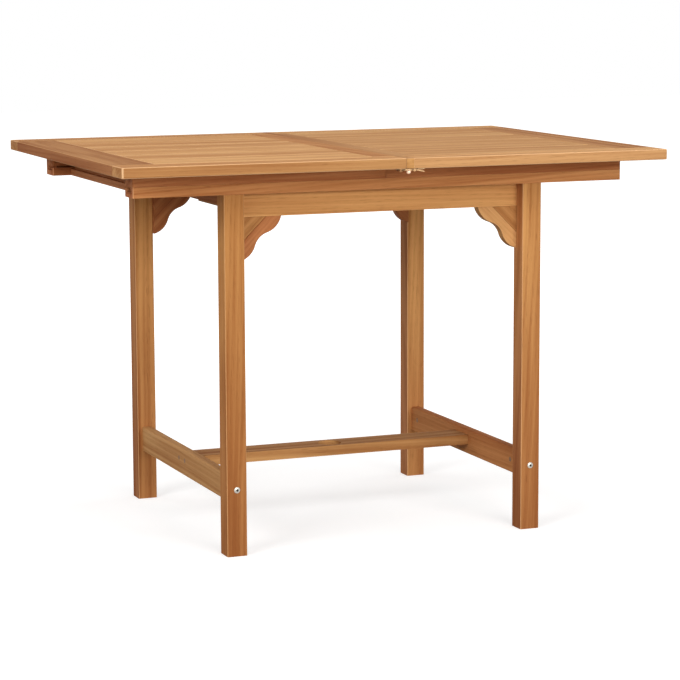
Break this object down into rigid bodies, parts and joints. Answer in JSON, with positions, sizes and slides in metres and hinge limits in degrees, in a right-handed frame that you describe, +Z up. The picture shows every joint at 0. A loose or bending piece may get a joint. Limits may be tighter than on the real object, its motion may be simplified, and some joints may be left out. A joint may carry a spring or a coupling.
{
  "type": "extending garden table",
  "caption": "Rectangular slatted garden table whose two top halves slide apart on dovetail rails over a stored folding leaf, on square legs with ogee brackets.",
  "frame": {"origin": "on the ground, below the middle of the closed top", "axes": "+X along the length of the table, towards the right half; -Y towards the front long edge; +Z up"},
  "size_m": [1.1, 0.8, 0.75],
  "materials": {
    "teak_top": "sanded, lightly oiled teak with fine straight grain",
    "teak_frame": "oiled teak, slightly deeper and redder than the top",
    "beech_dowel": "plain turned dowel",
    "brass_fittings": "polished brass",
    "zinc_steel": "bright zinc plate"
  },
  "bodies": {
    "base": {"front_left_leg": "teak_frame", "front_right_leg": "teak_frame", "back_left_leg": "teak_frame", "back_right_leg": "teak_frame", "front_apron": "teak_frame", "back_apron": "teak_frame", "left_apron": "teak_frame", "right_apron": "teak_frame", "front_left_brace": "teak_frame", "front_right_brace": "teak_frame", "back_left_brace": "teak_frame", "back_right_brace": "teak_frame", "front_left_corner_block": "teak_frame", "front_right_corner_block": "teak_frame", "back_left_corner_block": "teak_frame", "back_right_corner_block": "teak_frame", "left_stretcher": "teak_frame", "right_stretcher": "teak_frame", "centre_stretcher": "teak_frame", "stretcher_bolts": "zinc_steel", "barrel_nuts": "zinc_steel", "centre_stretcher_screws": "zinc_steel", "leg_dowels": "beech_dowel", "front_slide_rail": "teak_frame", "back_slide_rail": "teak_frame", "left_cross_rail": "teak_frame", "right_cross_rail": "teak_frame", "slide_stop_pins": "zinc_steel", "left_pivot_bar": "teak_frame", "right_pivot_bar": "teak_frame", "leaf_rest": "teak_frame", "leaf_pivot_pins": "brass_fittings", "leaf_front_rail": "teak_top", "leaf_front_end_rails": "teak_top", "leaf_front_slats": "teak_top", "leaf_back_rail": "teak_top", "leaf_back_end_rails": "teak_top", "leaf_back_slats": "teak_top", "leaf_battens": "teak_frame", "leaf_hinges": "brass_fittings", "leaf_dowels": "beech_dowel"},
    "left_top": {"left_front_rail": "teak_top", "left_back_rail": "teak_top", "left_end_rail": "teak_top", "left_seam_rail": "teak_top", "left_slats": "teak_top", "left_front_runner": "teak_frame", "left_back_runner": "teak_frame", "seam_dowels": "beech_dowel", "catch_studs": "brass_fittings"},
    "right_top": {"right_front_rail": "teak_top", "right_back_rail": "teak_top", "right_end_rail": "teak_top", "right_seam_rail": "teak_top", "right_slats": "teak_top", "right_front_runner": "teak_frame", "right_back_runner": "teak_frame", "catch_plates": "brass_fittings"},
    "front_catch": {"front_catch_bar": "brass_fittings"},
    "back_catch": {"back_catch_bar": "brass_fittings"}
  },
  "joints": [
    {"name": "left_top_slide", "type": "slide", "parent": "base", "child": "left_top", "axis": [-1, 0, 0], "range_m": [0, 0.25]},
    {"name": "right_top_slide", "type": "slide", "parent": "base", "child": "right_top", "axis": [1, 0, 0], "range_m": [0, 0.25]},
    {"name": "front_catch_swing", "type": "hinge", "parent": "right_top", "child": "front_catch", "pos_m": [0.021, -0.386, 0.727], "axis": [0, 0, -1], "range_deg": [-18, 72]},
    {"name": "back_catch_swing", "type": "hinge", "parent": "right_top", "child": "back_catch", "pos_m": [0.021, 0.386, 0.727], "axis": [0, 0, 1], "range_deg": [-18, 72]}
  ]
}
